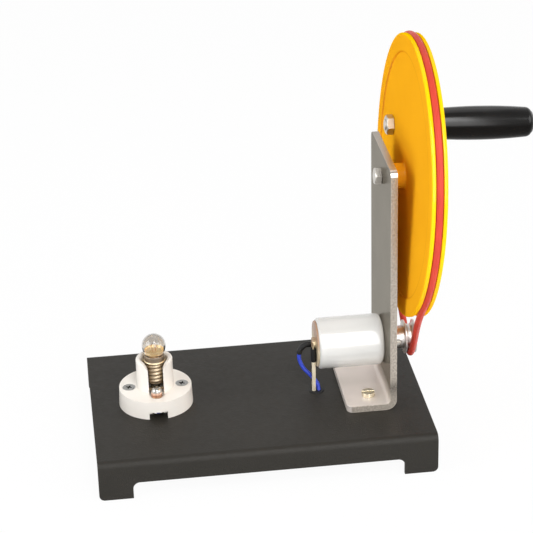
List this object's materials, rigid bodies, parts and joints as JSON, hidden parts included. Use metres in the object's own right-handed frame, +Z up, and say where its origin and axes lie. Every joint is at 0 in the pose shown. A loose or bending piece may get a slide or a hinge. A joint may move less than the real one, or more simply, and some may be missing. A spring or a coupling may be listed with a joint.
{
  "type": "hand-cranked demonstration dynamo",
  "caption": "Black folded base with an upright bracket, a hand-cranked yellow belt wheel that turns a small generator, and a lamp in a white holder that it lights.",
  "frame": {"origin": "under the middle of the object's bounding box, on the table", "axes": "+X to the right along the base, towards the crank's grip; +Y to the rear; +Z up"},
  "size_m": [0.2075, 0.126, 0.1848],
  "materials": {
    "black_coat": "textured",
    "plate_steel": "satin",
    "bright_steel": "bright",
    "pulley_metal": "polished",
    "yellow_plastic": "gloss",
    "red_rubber": "matte",
    "white_plastic": "gloss",
    "cream_plastic": "matte",
    "black_plastic": "satin",
    "brass": "satin",
    "copper": "satin",
    "magnet": "matte",
    "carbon": "matte",
    "core_steel": "matte",
    "blue_lead": "satin",
    "white_lead": "satin",
    "cap_brass": "bright",
    "black_glass": "gloss",
    "solder": "satin",
    "clear_glass": "clear",
    "tungsten": "satin"
  },
  "bodies": {
    "frame": {"base": "black_coat", "bracket": "plate_steel", "bracket_screws": "bright_steel", "bracket_washers": "bright_steel", "bracket_nuts": "bright_steel", "axle_bolt": "bright_steel", "axle_washers": "bright_steel", "axle_bush": "bright_steel", "axle_nut": "bright_steel", "belt": "red_rubber", "motor_sleeve": "white_plastic", "motor_can": "bright_steel", "motor_end_cap": "cream_plastic", "front_bearing": "copper", "rear_bearing": "copper", "magnets": "magnet", "brushes": "carbon", "terminals": "brass", "motor_screws": "bright_steel", "lead_blue": "blue_lead", "lead_white": "white_lead", "lead_sleeves": "black_plastic", "lamp_holder": "white_plastic", "lamp_socket": "brass", "side_contact": "brass", "centre_contact": "brass", "terminal_screws": "bright_steel", "terminal_nuts": "brass", "holder_screws": "bright_steel", "holder_nuts": "bright_steel"},
    "wheel": {"wheel": "yellow_plastic", "crank_bolt": "bright_steel", "crank_nut": "bright_steel", "crank_washer": "bright_steel"},
    "grip": {"grip": "black_plastic"},
    "rotor": {"rotor_shaft": "bright_steel", "armature_core": "core_steel", "armature_windings": "copper", "commutator": "copper", "commutator_sleeve": "cream_plastic", "pulley": "pulley_metal", "pulley_screw": "black_plastic"},
    "lamp_tip": {"lamp_tip": "solder"},
    "lamp": {"lamp_insulator": "black_glass", "lamp_cap": "cap_brass", "lamp_glass": "clear_glass", "lamp_stem": "clear_glass", "lamp_supports": "tungsten", "lamp_filament": "tungsten"}
  },
  "joints": [
    {"name": "wheel_spin", "type": "hinge", "parent": "frame", "child": "wheel", "pos_m": [0.03089, 0, 0.1225], "axis": [0.9986, 0, -0.0523], "continuous": true},
    {"name": "grip_spin", "type": "hinge", "parent": "wheel", "child": "grip", "pos_m": [0.03152, 0.02976, 0.13451], "axis": [0.9986, 0, -0.0523], "continuous": true},
    {"name": "rotor_spin", "type": "hinge", "parent": "frame", "child": "rotor", "pos_m": [0.03089, 0, 0.042], "axis": [1, 0, 0], "continuous": true},
    {"name": "lamp_lift", "type": "slide", "parent": "frame", "child": "lamp_tip", "axis": [0, 0, 1], "range_m": [0, 0.009]},
    {"name": "lamp_turn", "type": "hinge", "parent": "lamp_tip", "child": "lamp", "pos_m": [-0.07411, 0.001, 0.03], "axis": [0, 0, 1], "range_deg": [0, 1791]}
  ],
  "couplings": [
    {"joint": "rotor_spin", "follows": "wheel_spin", "ratio": 8.2},
    {"joint": "lamp_turn", "follows": "lamp_lift", "rad_per_m": 3471.4}
  ]
}
